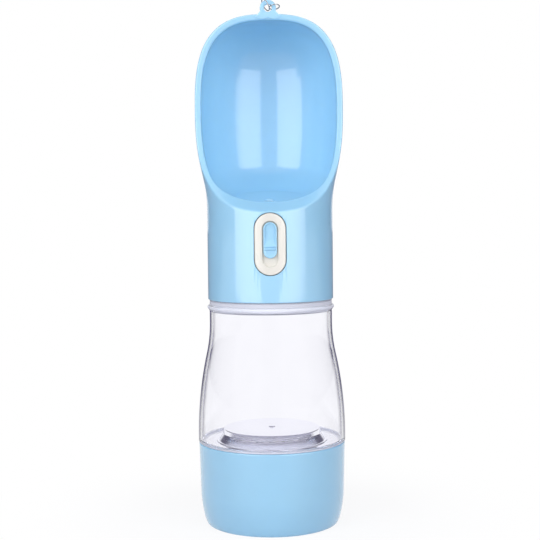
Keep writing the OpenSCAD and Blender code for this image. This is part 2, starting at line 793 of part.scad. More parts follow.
module key_guide() {
    window_x = arm_x1 + 0.6;
    color(milk) difference() {
        union() {
            block([-guide_x1, guide_x1], [wall_y0, wall_y1], [guide_z0, guide_z1]);
            for (s = [-1, 1]) {
                block(s > 0 ? [guide_x0, guide_x1] : [-guide_x1, -guide_x0],
                      [guide_y0, wall_y1], [guide_z0, guide_z1]);
                block(s > 0 ? [guide_x0 + eps, ear_x] : [-ear_x, -guide_x0 - eps],
                      [ear_y0, ear_y1], [ear_z - ear_h/2, ear_z + ear_h/2]);
                translate([s*key_spring_x, wall_y0 - 1, key_spring_z]) rotate([-90, 0, 0])
                    cylinder(r = key_spring_r - spring_wire/2 - 0.15, h = 1.2);
            }
            // stop of the lock, on an arm over the gland
            block([-stop_x, stop_x], [stop_y0, stop_y1], [stop_z0, stop_z1]);
            block([-stop_x, stop_x], [stop_y0, wall_y1], [guide_z0, stop_z1]);
        }
        // window for the key's arms and the crossbar
        block([-window_x, window_x], [wall_y0 - 0.1, wall_y1 + 0.1], [bar_z - arm_window_gap, arm_top_z + 0.5]);
        for (s = [-1, 1]) translate([s*ear_screw_x, ear_y0 - 1, ear_z]) rotate([-90, 0, 0])
            cylinder(r = screw_r + 0.15, h = ear_y1 - ear_y0 + 2);
    }
}

module guide_screws() {
    color(steel) for (s = [-1, 1])
        translate([s*ear_screw_x, ear_y1, ear_z]) rotate([-90, 0, 0]) screw(guide_screw_l);
}

module key_springs() {
    length = wall_y0 - flange_y1 - 2*face_gap;
    color(steel) for (s = [-1, 1])
        translate([s*key_spring_x, flange_y1 + face_gap, key_spring_z]) rotate([-90, 0, 0])
            coil(key_spring_r, spring_wire, length, 3);
}

// Side view of one arm of the key, as [y, z] points: its sloped end pushes the crossbar down
function arm_side() =
    let (gap = fit_gap*sqrt(2), line = ramp_z - bar_y0 + gap, y1 = bar_y0 + 0.5, y0 = y1 - ramp)
    [[flange_y1 - 0.5, y0 + line], [y0, y0 + line], [y1, y1 + line],
     [y1, arm_top_z], [flange_y1 - 0.5, arm_top_z]];

module press_key() {
    color(white) difference() {
        union() {
            intersection() {
                stadium(key_w, key_h, key_z, -key_r - 1, key_back_y + eps);
                rotate_extrude() translate([0, key_z - key_h]) square([key_r, 2*key_h]);
            }
            // body behind the window, and the flange that stops the key
            stadium(key_w, key_h, key_z, key_back_y, flange_y1);
            block([-flange_x, flange_x], [flange_y0, flange_y1], [flange_z0, flange_z1]);
            for (s = [-1, 1]) translate([s > 0 ? arm_x0 : -arm_x1, 0, 0])
                rotate([90, 0, 90]) linear_extrude(arm_x1 - arm_x0) polygon(arm_side());
        }
        stadium(slot_w, slot_h, key_z, -key_r - 2, slot_y);
        block([-pocket_x, pocket_x], [slot_y + slot_floor_t, flange_y1 + 1], [pocket_z0, pocket_z1]);
        stadium(2*neck_half_slot, neck_z1 - neck_z0 + lock_travel + 0.6,
                (neck_z0 + neck_z1 - lock_travel)/2, slot_y - 1, slot_y + slot_floor_t + 1);
    }
}

module lock_slider() {
    knob_y = slot_y - face_gap;
    ridge_z = knob_z + 4.9;
    ridge_step = 1.4;
    color(blue) difference() {
        union() {
            intersection() {
                stadium(knob_w, knob_h, (knob_z + knob_top_z)/2, -key_r - 1, knob_y);
                rotate_extrude() translate([0, knob_z]) square([key_r - 0.1, knob_h]);
            }
            for (i = [-0.5, 0.5]) translate([0, -key_r + 0.15, ridge_z + i*ridge_step])
                rotate([0, 90, 0]) cylinder(r = 0.42, h = knob_w - 1, center = true);
            stadium(2*neck_half_w, neck_z1 - neck_z0, (neck_z0 + neck_z1)/2,
                    knob_y - 0.5, clip_y0 + clip_t);
        }
        // shallow hollow for the finger
        translate([0, -key_r - 19.4, knob_top_z - 5.4]) rotate([0, 90, 0])
            cylinder(r = 20, h = knob_w + 2, center = true);
    }
}

module slider_clip() {
    color(milk) difference() {
        union() {
            block([-clip_x, clip_x], [clip_y0, clip_y0 + clip_t], [tongue_z0, neck_z1 + 1]);
            block([-stop_x, stop_x], [clip_y0, tongue_y1], [tongue_z0, tongue_z0 + tongue_h]);
        }
        stadium(2*neck_half_w + 0.04, neck_z1 - neck_z0 + 0.04, (neck_z0 + neck_z1)/2,
                clip_y0 - 1, clip_y0 + clip_t + 0.02);
    }
}

// ---- Valve ----

module valve_stem() {
    color(milk) translate([0, -stem_y, 0]) {
        translate([0, 0, stem_z]) cylinder(r = foot_r, h = foot_t);
        translate([0, 0, stem_z]) cylinder(r = stem_r, h = bar_top_z - stem_z - 1);
    }
}

module valve_seal() {
    color(rubber) translate([0, -stem_y, 0])
        ring(stem_r, seal_disc_r, valve_seal_z, valve_seal_z + seal_disc_t);
}

// Crossbar on the stem: the arms of the key slide down its sloped front
module stem_cap() {
    side = [[bar_y0, bar_z], [bar_y1, bar_z], [bar_y1, bar_top_z],
            [bar_y0 + ramp, bar_top_z], [bar_y0, ramp_z]];
    color(milk) difference() {
        translate([-bar_x, 0, 0]) rotate([90, 0, 90]) linear_extrude(2*bar_x) polygon(side);
        translate([0, -stem_y, bar_z - 1]) cylinder(r = stem_r, h = bar_top_z - bar_z);
    }
}

module valve_spring() {
    color(steel) translate([0, -stem_y, gland_top_z + face_gap])
        coil(valve_spring_r, valve_spring_wire, bar_z - gland_top_z - 2*face_gap, 3.5);
}

// A wire ring through the lug's hole. at is the point where it passes through, lean the
// way it leads from there in the lug's plane, and turn how far it is turned about that way.
module lug_ring(r, at, lean, turn) {
    color(steel) translate([0, lug_y, lug_z]) translate(at) rotate([0, -lean, 0])
        rotate([turn, 0, 0]) translate([r, 0, 0])
            rotate_extrude() translate([r, 0]) circle(d = ring_wire, $fn = 24);
}

module wire_ring() {
    lug_ring(ring_r, [0.5, 0, -1], 122, 18);
}

module link_ring() {
    lug_ring(link_r, [0.75, 0, 0.25], 8, -20);
}

food_cup();
cup_seal();
cup_lid();
lid_gasket();
bottle();
mouth_seal();
valve_core();
cap_gasket();
spout_cap();
cap_screws();
stem_o_ring();
spout_sleeve();
head_shell();
key_guide();
guide_screws();
key_springs();
press_key();
lock_slider();
slider_clip();
valve_stem();
valve_seal();
stem_cap();
valve_spring();
wire_ring();
link_ring();
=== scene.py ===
# %% [markdown]
# # A travel water bottle for a dog
# The bottle stands on its food cup. Above the cup is a clear bottle with a waist, and on
# top of that a blue head with a drinking scoop. A press key in the head opens a valve, and
# a slider in the key locks it. The frame holds every piece at its real place and size, so
# this script only gives the pieces their surfaces and rebuilds the ones that show most
# with finer meshes.

import math

import bmesh
import bpy
import numpy as np
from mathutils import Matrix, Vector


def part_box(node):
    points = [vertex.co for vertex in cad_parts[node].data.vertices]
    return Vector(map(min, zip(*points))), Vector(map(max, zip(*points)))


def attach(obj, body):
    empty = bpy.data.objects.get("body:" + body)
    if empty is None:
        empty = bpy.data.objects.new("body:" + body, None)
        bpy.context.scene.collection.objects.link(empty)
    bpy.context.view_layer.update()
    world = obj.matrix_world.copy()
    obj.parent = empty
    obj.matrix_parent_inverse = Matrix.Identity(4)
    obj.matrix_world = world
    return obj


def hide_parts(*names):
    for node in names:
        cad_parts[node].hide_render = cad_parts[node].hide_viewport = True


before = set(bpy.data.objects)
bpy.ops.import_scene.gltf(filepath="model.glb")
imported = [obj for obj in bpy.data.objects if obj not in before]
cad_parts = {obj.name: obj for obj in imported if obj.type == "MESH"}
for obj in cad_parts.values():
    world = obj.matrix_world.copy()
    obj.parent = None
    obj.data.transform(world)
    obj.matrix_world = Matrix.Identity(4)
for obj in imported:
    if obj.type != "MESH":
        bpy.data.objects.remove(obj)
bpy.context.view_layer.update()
scene = bpy.context.scene
mm = 0.001

# %% [markdown]
# ## The camera
# A tall object is taken from a little over half its height with a long lens, so that its
# sides stay nearly parallel. The camera's height and its distance decide how far the
# round seams bow. It is pointed a little down, which keeps the whole bottle in view.

# %% Camera
camera_distance = 590 * mm
camera_height = 161 * mm
camera_side = -0.21 * mm
seen_height = 272.19 * mm  # what the picture's height covers at the bottle's axis
down = math.radians(3.253)
lean = math.radians(-0.566)

camera_data = bpy.data.cameras.new("camera")
camera = bpy.data.objects.new("camera", camera_data)
scene.collection.objects.link(camera)
scene.camera = camera
camera.location = (camera_side, -camera_distance, camera_height)
camera.rotation_euler = (math.pi / 2 - down, 0, 0)
camera.rotation_euler.rotate_axis("Z", lean)
camera_data.sensor_width = 36
camera_data.lens = camera_data.sensor_width * camera_distance / seen_height
print("lens in mm:", round(camera_data.lens, 1))

# %% [markdown]
# ## Helpers for meshes
# Nearly every piece here is a stack of rows of points with faces between them: a turned
# piece is a profile swept round the axis, the key is a stack of rounded outlines, and the
# scoop is a stack of arcs. So one function turns grids of points into a mesh, and points
# that meet are merged. Corners are rounded in the outline itself, because a moulded edge
# is never sharp and it is the rounding that catches the light.

# %% Meshes from rows of points
MERGE = 0.002 * mm  # points closer than this are one


def piece_of(name, points, faces, body, merge=False):
    """A piece on a body from points in millimetres, with its faces turned outwards."""
    mesh = bpy.data.meshes.new(name)
    mesh.from_pydata([[c * mm for c in point] for point in points], [], faces)
    tidy = bmesh.new()
    tidy.from_mesh(mesh)
    if merge:
        bmesh.ops.remove_doubles(tidy, verts=tidy.verts, dist=MERGE)
    bmesh.ops.recalc_face_normals(tidy, faces=tidy.faces)
    tidy.to_mesh(mesh)
    tidy.free()
    piece = bpy.data.objects.new(name, mesh)
    scene.collection.objects.link(piece)
    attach(piece, body)
    return piece


def build(name, grids, body, closed=True):
    """A piece from grids of points in millimetres, each rows by columns by 3."""
    points, faces = [], []
    for grid in grids:
        start, (rows, cols, _) = len(points), grid.shape
        points.extend(grid.reshape(-1, 3).tolist())
        last = cols if closed else cols - 1
        faces.extend(
            [start + i * cols + j, start + i * cols + (j + 1) % cols,
             start + (i + 1) * cols + (j + 1) % cols, start + (i + 1) * cols + j]
            for i in range(rows - 1) for j in range(last))
    piece = piece_of(name, points, faces, body, merge=True)
    piece.data.shade_smooth()
    return piece


def soften(outline, radius, steps=4):
    """The outline with each corner rounded, as [r, z] points from its first to its last.
    A short flat step beside each rounding keeps the shading of broad faces straight."""
    soft = [outline[0]]
    for before, corner, after in zip(outline, outline[1:], outline[2:]):
        before, corner, after = (np.array(p, float) for p in (before, corner, after))
        length = [np.linalg.norm(p - corner) for p in (before, after)]
        way = [(p - corner) / n for p, n in zip((before, after), length)]
        reach = [min(radius, 0.45 * n) for n in length]
        step = [min(0.6, 0.04 * n) for n in length]
        p0, p2 = corner + way[0] * reach[0], corner + way[1] * reach[1]
        soft.append(p0 + way[0] * step[0])
        for u in np.linspace(0, 1, steps + 1):
            soft.append((1 - u) ** 2 * p0 + 2 * u * (1 - u) * corner + u ** 2 * p2)
        soft.append(p2 + way[1] * step[1])
    return soft + [outline[-1]]


def turned(profile, segments=160, axis_y=0.0):
    """The grid of a piece turned on a vertical axis, from [r, z] points."""
    profile = np.array([list(p) for p in profile], float)
    angle = np.linspace(0, 2 * np.pi, segments, endpoint=False)
    r, z = profile[:, :1], profile[:, 1:]
    return np.stack([r * np.sin(angle), axis_y - r * np.cos(angle),
                     np.broadcast_to(z, (len(profile), segments))], axis=2)


def s_curve(r0, r1, z0, z1, share, z):
    """Radius at height z on two arcs that lead smoothly from r0 at z0 to r1 at z1."""
    height, way = z1 - z0, np.sign(r1 - r0)
    turn = 2 * math.atan2(abs(r1 - r0), height)
    low = share * height / math.sin(turn)
    high = height / math.sin(turn) - low
    z = np.clip(z, z0, z1)
    first = r0 + way * (low - np.sqrt(low ** 2 - (z - z0) ** 2))
    second = r1 - way * (high - np.sqrt(high ** 2 - (z1 - z) ** 2))
    return np.where(z < z0 + share * height, first, second)


print("helpers ready")

# %% [markdown]
# ## The head with its scoop
# The real head is one injection moulding: a cylinder that widens into a scoop with a
# domed back, cut open in front along a curve that sweeps from the lip up the sides. It
# could be carved with booleans, but a cut rim has hard edges and uneven faces. So the
# outside and the hollow are each drawn as arcs that run from one side of the rim round
# the back to the other, and the rim between them gets rounded edges of its own.

# %% Curves of the head, in millimetres
head_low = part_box("head_shell")[0]
base_z = head_low.z / mm
neck_r = 31.5
scoop_r = 37.1
flare_z = (base_z + 44.9, base_z + 92.0)
flare_share = 0.341
dome_z = base_z + 92.0
top_z = base_z + 141.3
squareness = 2.96
scoop_wall = 3.0
rim_mid_z = base_z + 90.3
rim_front = 0.65
sweep_r = 50.4
upper_r = 200.0
floor_z = base_z + 51.3
floor_rise = math.tan(math.radians(10.3))
fillet = 12.0
rim_round = 0.9


def head_radius(z, inset=0.0):
    up = np.clip((z - dome_z) / (top_z - inset - dome_z), 0, 1)
    dome = (scoop_r - inset) * (1 - up ** squareness) ** (1 / squareness)
    return np.where(z <= dome_z, s_curve(neck_r, scoop_r, *flare_z, flare_share, z) - inset, dome)


def rim_y(z, back=0.0):
    """Y of the rim's face at height z, or of a surface that far behind it."""
    rise = (z - rim_mid_z) ** 2
    low = np.sqrt(np.maximum(0, (sweep_r + back) ** 2 - rise)) - sweep_r
    high = np.sqrt((upper_r + back) ** 2 - rise) - upper_r
    return np.where(z < rim_mid_z, low, high) - rim_front


def hollow(s, a):
    """Radius and height of the scoop's hollow at angle a from the front. s runs from the
    middle of the floor (0) over its edge (1), the fillet (2) and the wall to the top (5)."""
    inner_low = head_radius(floor_z, scoop_wall)
    corner = np.radians(90 * np.clip(s - 1, 0, 1))
    out = inner_low - fillet * (1 - np.sin(corner))
    z = floor_z + fillet * (1 - np.cos(corner)) - floor_rise * out * np.cos(a)
    z = floor_z + np.clip(s, 0, 1) * (z - floor_z)
    wall_z = dome_z - 22
    z = z + np.clip(s - 2, 0, 1) * (wall_z - z)
    z = z + np.clip(s - 3, 0, 1) * (dome_z - wall_z)
    up = np.sin(np.radians(90 * np.clip(s - 4, 0, 1))) ** (2 / squareness)
    z = z + up * (top_z - scoop_wall - dome_z)
    r = (head_radius(z, scoop_wall) - fillet * (1 - np.sin(corner))) * np.clip(s, 0, 1)
    return r, z


def place(r, a, z):
    """Points at radius r, angle a from the front and height z."""
    r, a, z = np.broadcast_arrays(r, a, z)
    return np.stack([r * np.sin(a), -r * np.cos(a), z], axis=-1)


def bisect(f, below, above):
    """Where f crosses zero, from values where it is below and above zero."""
    below, above = np.array(below, float), np.array(above, float)
    for _ in range(50):
        middle = (below + above) / 2
        low = f(middle) < 0
        below, above = np.where(low, middle, below), np.where(low, above, middle)
    return (below + above) / 2


print("lip at", round(float(rim_y(base_z + 43.8)), 2), "mm; scoop half width", round(scoop_r, 2))

# %% The two edges of the rim, and rows of points from them
ROWS, COLUMNS = 150, 121


def by_length(points, *values):
    """Values at ROWS even steps of length along a curve."""
    length = np.concatenate([[0], np.cumsum(np.linalg.norm(np.diff(points, axis=0), axis=1))])
    at = np.linspace(0, length[-1], ROWS)
    return [np.interp(at, length, v) for v in (*points.T, *values)]


def outer_edge(back):
    """Where the outside meets the rim's face, or a surface that far behind it."""
    gap = lambda z: head_radius(z) + rim_y(z, back)
    low = bisect(gap, flare_z[0] - 10, rim_mid_z)
    high = bisect(gap, top_z - 0.001, dome_z)
    z = low + (high - low) * (1 - np.cos(np.linspace(0, np.pi, 3000))) / 2
    r = head_radius(z)
    a = np.arccos(np.clip(-rim_y(z, back) / r, -1, 1))
    return by_length(place(r, a, z), a)


def inner_edge(back):
    """The same for the hollow. It also returns the row's place s."""
    def behind(s, a):
        r, z = hollow(s, a)
        return -r * np.cos(a) - rim_y(z, back)
    low = bisect(lambda s: behind(s, 0.0), 3.0, 0.5)
    high = bisect(lambda s: behind(s, 0.0), 4.2, 4.9999)
    s = low + (high - low) * (1 - np.cos(np.linspace(0, np.pi, 3000))) / 2
    a = bisect(lambda a: behind(s, a), np.zeros_like(s), np.full_like(s, np.pi))
    r, z = hollow(s, a)
    return by_length(place(r, a, z), a, s)


def arcs(edge_angle):
    """Angles of each row, from the rim's right side round the back to its left side."""
    return edge_angle[:, None] + (2 * np.pi - 2 * edge_angle[:, None]) * np.linspace(0, 1, COLUMNS)


_, _, outer_z, outer_a = outer_edge(rim_round)
outer_rows = place(head_radius(outer_z)[:, None], arcs(outer_a), outer_z[:, None])
*_, inner_a, inner_s = inner_edge(rim_round)
inner_r, inner_z = hollow(inner_s[:, None], arcs(inner_a))
inner_rows = place(inner_r, arcs(inner_a), inner_z)
print("rim rows:", ROWS, "lip of the outside at", round(float(outer_z[0]), 1), "mm")

# %% The rim's band with its rounded edges
outer_corner = np.stack(outer_edge(0.0)[:3], axis=1)
inner_corner = np.stack(inner_edge(0.0)[:3], axis=1)


def rounding(start, corner, end, steps=4):
    """Points of a rounded corner, without its start and end."""
    return [(1 - u) ** 2 * start + 2 * u * (1 - u) * corner + u ** 2 * end
            for u in np.linspace(0, 1, steps + 1)[1:-1]]


across = inner_corner - outer_corner
width = np.linalg.norm(across, axis=1, keepdims=True)
face_start = outer_corner + across / width * rim_round
face_end = inner_corner - across / width * rim_round
band = (rounding(outer_rows[:, 0], outer_corner, face_start) + [face_start]
        + [face_start + (face_end - face_start) * u for u in (0.25, 0.5, 0.75)]
        + [face_end] + rounding(face_end, inner_corner, inner_rows[:, 0]))
band = np.stack(band, axis=1)
mirrored = band * np.array([-1, 1, 1])
rim_loops = np.concatenate([outer_rows, mirrored, inner_rows[:, ::-1], band[:, ::-1]], axis=1)
print("rim width at the lip and at the side in mm:", width[0].round(1), width[ROWS // 2].round(1))

# %% Below the lip, above the top, and the space for the valve
full_turn = arcs(np.zeros(1))
inside_r = neck_r - 2.0
ledge_r = inside_r - 2.45
ledge_z = base_z + 40.0
under_z = floor_z - 3.0
skirt = soften([[neck_r, outer_z[0]], [neck_r, base_z], [inside_r, base_z], [inside_r, ledge_z],
                [ledge_r, ledge_z + 1.2], [ledge_r, ledge_z + 1.6]], 0.4)
skirt_rows = np.concatenate([place(r, full_turn, z) for r, z in skirt])
ceiling = [place(ledge_r * k, full_turn, under_z - floor_rise * ledge_r * k * np.cos(full_turn))
           for k in (1, 0.98, 0.5, 0)]
skirt_rows = np.concatenate([skirt_rows, *ceiling])

up = np.linspace(math.asin(((outer_z[-1] - dome_z) / (top_z - dome_z)) ** (squareness / 2)),
                 math.pi / 2, 24)
crown_z = dome_z + (top_z - dome_z) * np.sin(up) ** (2 / squareness)
crown_rows = place(head_radius(crown_z)[:, None], full_turn, crown_z[:, None])
floor_rows = [hollow(np.array([[s]]), full_turn) for s in np.linspace(inner_s[0], 0, 24)]
vault_rows = [hollow(np.array([[s]]), full_turn) for s in np.linspace(inner_s[-1], 5, 24)]
floor_rows, vault_rows = (np.concatenate([place(r, full_turn, z) for r, z in rows])
                          for rows in (floor_rows, vault_rows))

head = build("head_with_scoop", [rim_loops, skirt_rows, crown_rows, floor_rows, vault_rows], "head")
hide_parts("head_shell")
print("head faces:", len(head.data.polygons))

# %% [markdown]
# The key's window, the outlet hole and the lug come next. Each opening is cut with a
# tool body whose sides flare out like a trumpet at the surface. That leaves the opening
# with the small rounded edge that a moulded part has. The lug is a ring of points round
# its own hole, from the front face over the edge to the back.

# %% Window, outlet and lug
frame_z = (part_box("guide_screws")[0].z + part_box("guide_screws")[1].z) / 2 / mm - 0.5
key_z = frame_z + 0.5
key_w, key_h = 15.0, 29.8
key_r = neck_r + 0.5
window_gap = 0.3


def stadium(w, h, count=96):
    """Points of an upright shape with straight sides and round ends, round its middle."""
    side, half = h - w, w / 2
    along = np.linspace(0, 2 * side + np.pi * w, count, endpoint=False)
    x, z = np.zeros(count), np.zeros(count)
    for i, t in enumerate(along):
        part, rest = divmod(t, side + np.pi * half)
        if rest < side:
            p = (half, rest - side / 2)
        else:
            turn = (rest - side) / half
            p = (half * math.cos(turn), side / 2 + half * math.sin(turn))
        x[i], z[i] = p if part == 0 else (-p[0], -p[1])
    return x, z


def stadium_row(w, h, middle, y=None, radius=None):
    """A stadium's points at one y, or laid on a cylinder of that radius."""
    x, z = stadium(w, h)
    y = np.full_like(x, y) if radius is None else -np.sqrt(radius ** 2 - x ** 2)
    return np.stack([x, y, z + middle], axis=1)


def capped(rows, middle):
    """Closes a stack of stadium rows in front and behind, each on one middle point."""
    ends = [np.broadcast_to([0, row[:, 1].min(), middle], row.shape) for row in (rows[0], rows[-1])]
    return np.stack([ends[0], *rows, ends[1]])


def cut(piece, tool, how="DIFFERENCE"):
    """Cuts the tool's shape out of the piece, or joins it on, and removes the tool."""
    step = piece.modifiers.new("cut", "BOOLEAN")
    step.operation, step.object, step.solver = how, tool, "EXACT"
    bpy.context.view_layer.update()
    done = bpy.data.meshes.new_from_object(
        piece.evaluated_get(bpy.context.evaluated_depsgraph_get()))
    piece.modifiers.clear()
    piece.data = done
    bpy.data.objects.remove(tool)


def smooth_by_angle(piece, degrees=35):
    piece.data.shade_smooth()
    piece.data.set_sharp_from_angle(angle=math.radians(degrees))


edge = 0.2
window_w, window_h = key_w + 2 * window_gap, key_h + 2 * window_gap
rows = [stadium_row(window_w + 2 * edge, window_h + 2 * edge, key_z, radius=neck_r + 2)]
rows += [stadium_row(window_w + 2 * (edge - o), window_h + 2 * (edge - o), key_z,
                     radius=neck_r - edge + d) for d, o in
         [(edge * math.cos(a), edge * math.sin(a)) for a in np.linspace(0, math.pi / 2, 6)]]
rows += [stadium_row(window_w, window_h, key_z, y=-24.0)]
cut(head, build("window_tool", [capped(rows, key_z)], "head"))

spout_y, spout_r = 10.0, 2.5
hole_z = floor_z - floor_rise * spout_y
profile = [[0, hole_z - 8], [spout_r, hole_z - 8], [spout_r, hole_z - 0.3],
           [spout_r + 0.05, hole_z - 0.12], [spout_r + 0.2, hole_z + 0.02],
           [spout_r + 0.4, hole_z + 0.1], [spout_r + 0.4, hole_z + 4], [0, hole_z + 4]]
outlet_rows = turned(profile, 64, -spout_y)
outlet_rows[..., 2] -= floor_rise * (-spout_y - outlet_rows[..., 1])
cut(head, build("outlet_tool", [outlet_rows], "head"))
smooth_by_angle(head, 50)
print("key middle at", round(key_z, 2), "mm; head faces now:", len(head.data.polygons))

# %% [markdown]
# ## The bottle
# The clear bottle is blow moulded with a thick wall: it narrows to a waist, and a bead
# and a step finish it under the head. The lid's boss screws into a socket in its floor,
# and that thread shows through the wall as a grey band. A thread joined on with a boolean
# would leave faces inside the plastic, and a clear piece shows them. So the thread is part
# of the turned profile: each point's radius also depends on its angle.

# %% A thread that belongs to the turned wall
def threaded(grid, z_start, pitch, turns, radius, height, root=1.0):
    """Lifts a helical ridge out of the grid's points that lie on that radius."""
    angle = np.mod(np.arctan2(grid[..., 1], grid[..., 0]), 2 * np.pi)
    r = np.hypot(grid[..., 0], grid[..., 1])
    lift = np.zeros_like(r)
    for k in range(int(turns) + 2):
        along = angle / (2 * np.pi) + k
        off = np.abs(grid[..., 2] - z_start - pitch * along)
        fade = np.clip(np.minimum(along, turns - along) * 8, 0, 1)
        lift = np.maximum(lift, np.clip((root - off) / (root * 0.55), 0, 1) * fade)
    near = np.abs(r - radius) < 0.02
    scale = np.where(near, (r + height * lift) / np.maximum(r, 1e-6), 1)
    out = grid.copy()
    out[..., :2] *= scale[..., None]
    return out


bottle_low, bottle_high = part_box("bottle")
floor_under = bottle_low.z / mm
bottle_z = floor_under + 1.5
mouth_z = bottle_high.z / mm
bottle_r = 37.2
waist_r = 30.85
wall = 1.6
bead_round = 1.1
bead_r = 31.9
step_r = bead_r - bead_round
shoulder_z = bottle_z + 71.7
step_z = shoulder_z - 2.6
bead_z = step_z - 2.2
neck_out = 25.2
neck_in = 23.4
floor_top = floor_under + 1.8
side_low = bottle_z + 2.7
side_high = bottle_z + 60.2
foot_chamfer = 1.3
inner_foot_z = bottle_z + 4
plug_r = 34.45
boss_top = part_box("cup_lid")[1].z / mm
roof = boss_top + 0.3
roof_top = roof + 1.4
socket_r = 22.8
rib_r = 28.1


def bottle_side(z, inset=0.0):
    return s_curve(bottle_r, waist_r, side_low, side_high, 0.725, z) - inset


heights = np.linspace(side_low, side_high, 48)
under_bead = [[waist_r + 1 - math.cos(a), bead_z - 1 + math.sin(a)]
              for a in np.linspace(0, 0.61, 7)]
bead = [[step_r + bead_round * math.cos(a), bead_z + bead_round + bead_round * math.sin(a)]
        for a in np.linspace(-1.05, 1.2, 9)]
thread_heights = np.linspace(mouth_z - 1.2, shoulder_z + 1.0, 40)
outline = soften([[bottle_r - foot_chamfer, bottle_z], [bottle_r, bottle_z],
                  [bottle_r, side_low]], 0.5)[:-1]
outline += [[bottle_side(z), z] for z in heights] + under_bead
outline += soften([under_bead[-1], bead[0], bead[1]], 0.3)[1:-1] + bead[1:]
outline += soften([bead[-1], [step_r + 0.3, step_z], [step_r, step_z + 0.3],
                   [step_r, shoulder_z], [neck_out, shoulder_z],
                   [neck_out, thread_heights[-1]]], 0.3)[1:-1]
outline += [[neck_out, z] for z in thread_heights[::-1]]
outline += soften([[neck_out, mouth_z - 1.2], [neck_out, mouth_z], [neck_in, mouth_z],
                   [neck_in, shoulder_z]], 0.5)[1:]
inside_top = bead_z + 0.6
outline += soften([[neck_in, shoulder_z], [neck_in, shoulder_z - 1.4],
                   [waist_r - wall - 0.8, inside_top + 0.8],
                   [waist_r - wall, inside_top], [waist_r - wall, inside_top - 4]], 0.9)[1:]
outline += [[bottle_side(z, wall), z] for z in heights[::-1] if z > inner_foot_z]
inner_r = bottle_r - wall
socket_heights = np.linspace(roof - 0.8, floor_under + 0.4, 40)
outline += soften([[inner_r, inner_foot_z], [inner_r, floor_top], [rib_r, floor_top]], 3.0, 8)[1:]
outline += soften([[rib_r, floor_top], [rib_r - 0.2, floor_top + 0.45],
                   [rib_r - 1, floor_top + 0.45], [rib_r - 1.2, floor_top + 0.1],
                   [socket_r + 1.8, roof - 1.2], [socket_r + 1.4, roof_top],
                   [socket_r - 0.4, roof_top], [6, roof_top]], 0.35)[1:]
outline += soften([[6, roof_top], [1.9, roof_top], [1.3, roof_top + 0.6],
                   [0, roof_top + 0.6]], 0.3)[1:]
outline += soften([[0, roof], [socket_r, roof], [socket_r, socket_heights[0]]], 0.5)
outline += [[socket_r, z] for z in socket_heights]
outline += soften([[socket_r, socket_heights[-1]], [socket_r, floor_under],
                   [plug_r, floor_under], [plug_r, bottle_z],
                   [bottle_r - foot_chamfer, bottle_z]], 0.3)[1:]
bottle_rows = turned(outline, 192)
bottle_rows = threaded(bottle_rows, shoulder_z + 2.2, 4, 1.1, neck_out, 1.2)
bottle_rows = threaded(bottle_rows, boss_top - 3.5, 3, 1.0, socket_r, -1.1, 0.85)
bottle = build("clear_bottle", [bottle_rows], "bottle")
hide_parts("bottle")
smooth_by_angle(bottle, 60)
print("bottle from", round(bottle_z, 1), "to", round(mouth_z, 1), "mm, rows:", len(outline))

# %% [markdown]
# ## The food cup
# The cup is a simple moulding: a wide rounded foot, a side that hardly tapers and a
# thread inside the rim. Its outline is drawn once and turned, with the thread lifted out
# of the wall in the same way as the bottle's.

# %% Food cup
cup_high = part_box("food_cup")[1]
cup_h, cup_r = cup_high.z / mm, 36.95
side_r = cup_r - 0.6
foot_w, foot_h, foot_power = 3.2, 16.0, 2 / 1.5
cup_wall, cup_floor = 2.2, 2.6
base_r = side_r - foot_w
foot = [[base_r + foot_w * math.sin(a) ** foot_power, foot_h * (1 - math.cos(a) ** foot_power)]
        for a in np.linspace(0, math.pi / 2, 36)]
mouth_r, ledge_z, bore_r = cup_r - 2.1, cup_h - 5.0, cup_r - 2.85
bore = np.linspace(ledge_z - 0.6, ledge_z - 10.5, 50)
outline = soften([[0, 0], [base_r - 7, 0], [base_r - 7, 0.8], [base_r - 4, 0.8],
                  [base_r - 4, 0], foot[0]], 0.25)[:-1] + foot
outline += soften([[side_r, foot_h], [cup_r, cup_h], [mouth_r, cup_h], [mouth_r, ledge_z],
                   [bore_r, ledge_z], [bore_r, bore[0]]], 0.45)[1:]
outline += [[bore_r, z] for z in bore]
outline += [[r - cup_wall, z + cup_floor] for r, z in foot[::-1]] + [[0, cup_floor]]
cup_rows = threaded(turned(outline, 192), ledge_z - 8.6, 4, 1.0, bore_r, -1.2)
cup = build("cup_moulding", [cup_rows], "cup")
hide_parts("food_cup")
smooth_by_angle(cup, 60)
print("cup height and radius in mm:", round(cup_h, 1), round(cup_r, 2))

# %% [markdown]
# ## The press key and the lock
# The key is a white shoe-shaped button that follows the head's round side, with a slot
# for the lock's knob. It is drawn as a stack of stadium outlines: up the outer side, over
# a rounded edge, across the front and down into the slot. What the hand never sees, the
# flange and the two arms that push the valve, is joined on from bevelled blocks.

# %% Press key
slot_w, slot_h, slot_y = 7.7, 22.1, -key_r + 1.6
flange_y0, flange_y1 = -27.5, -26.3
edge = 0.4


def over_edge(w0, h0, way, count=6):
    """Rows over the rounded edge between the key's front and a side, going outwards."""
    return [stadium_row(w0 + 2 * way * edge * (math.sin(a) - 1),
                        h0 + 2 * way * edge * (math.sin(a) - 1), key_z,
                        radius=key_r - edge * (1 - math.cos(a)))
            for a in np.linspace(0, math.pi / 2, count)]


